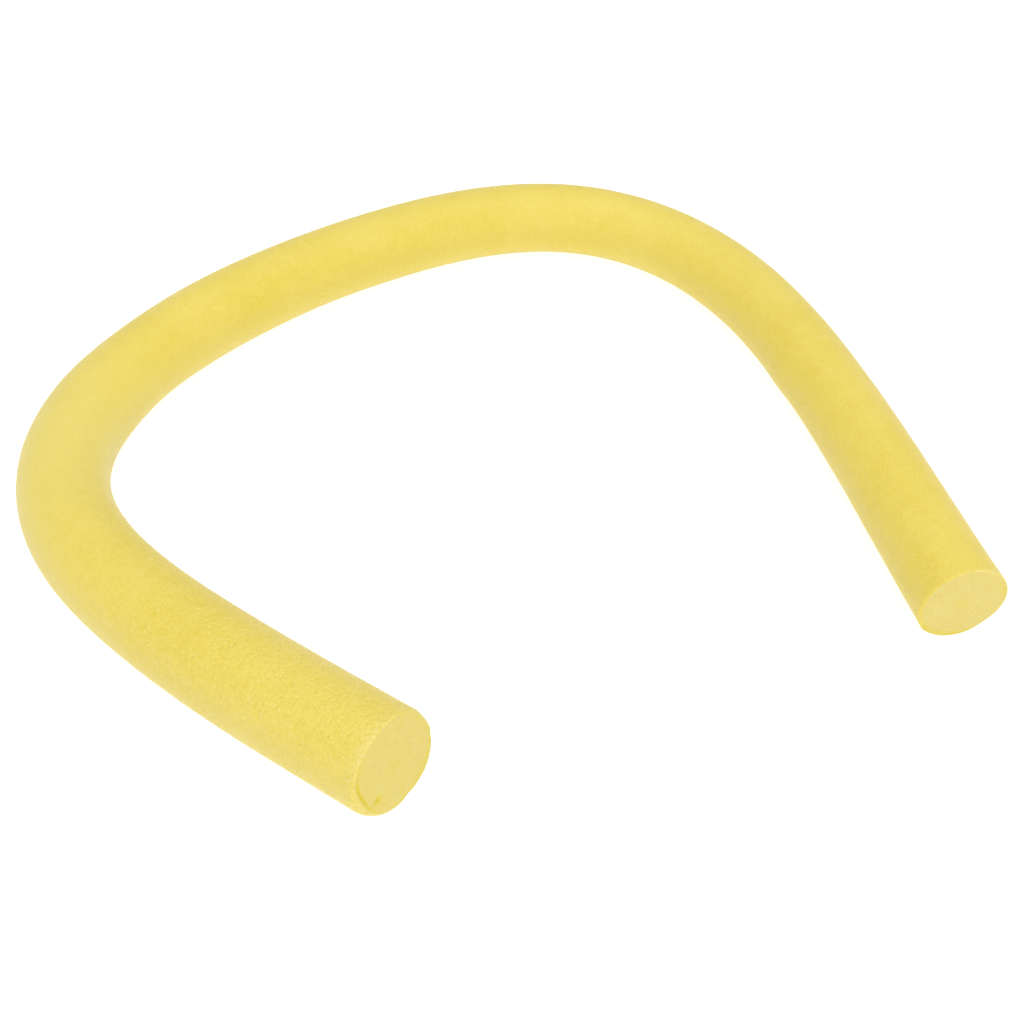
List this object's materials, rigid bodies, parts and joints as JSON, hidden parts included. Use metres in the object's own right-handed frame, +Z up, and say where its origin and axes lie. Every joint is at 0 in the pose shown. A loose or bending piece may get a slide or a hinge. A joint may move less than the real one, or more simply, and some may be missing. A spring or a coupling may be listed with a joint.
{
  "type": "foam pool noodle",
  "caption": "Solid closed-cell foam pool noodle, a round bar with square-cut ends, bent into a lopsided horseshoe; a floating swim aid.",
  "frame": {"origin": "on the floor, under the middle of the noodle's bounding box", "axes": "+Z up from the floor, +Y from the open side of the horseshoe to its closed back, +X to the right as seen from the open side, where the far end lies"},
  "size_m": [0.7108, 0.7492, 0.1044],
  "materials": {
    "foam": "matte"
  },
  "bodies": {
    "root": {"foam_body": "foam"}
  },
  "joints": []
}
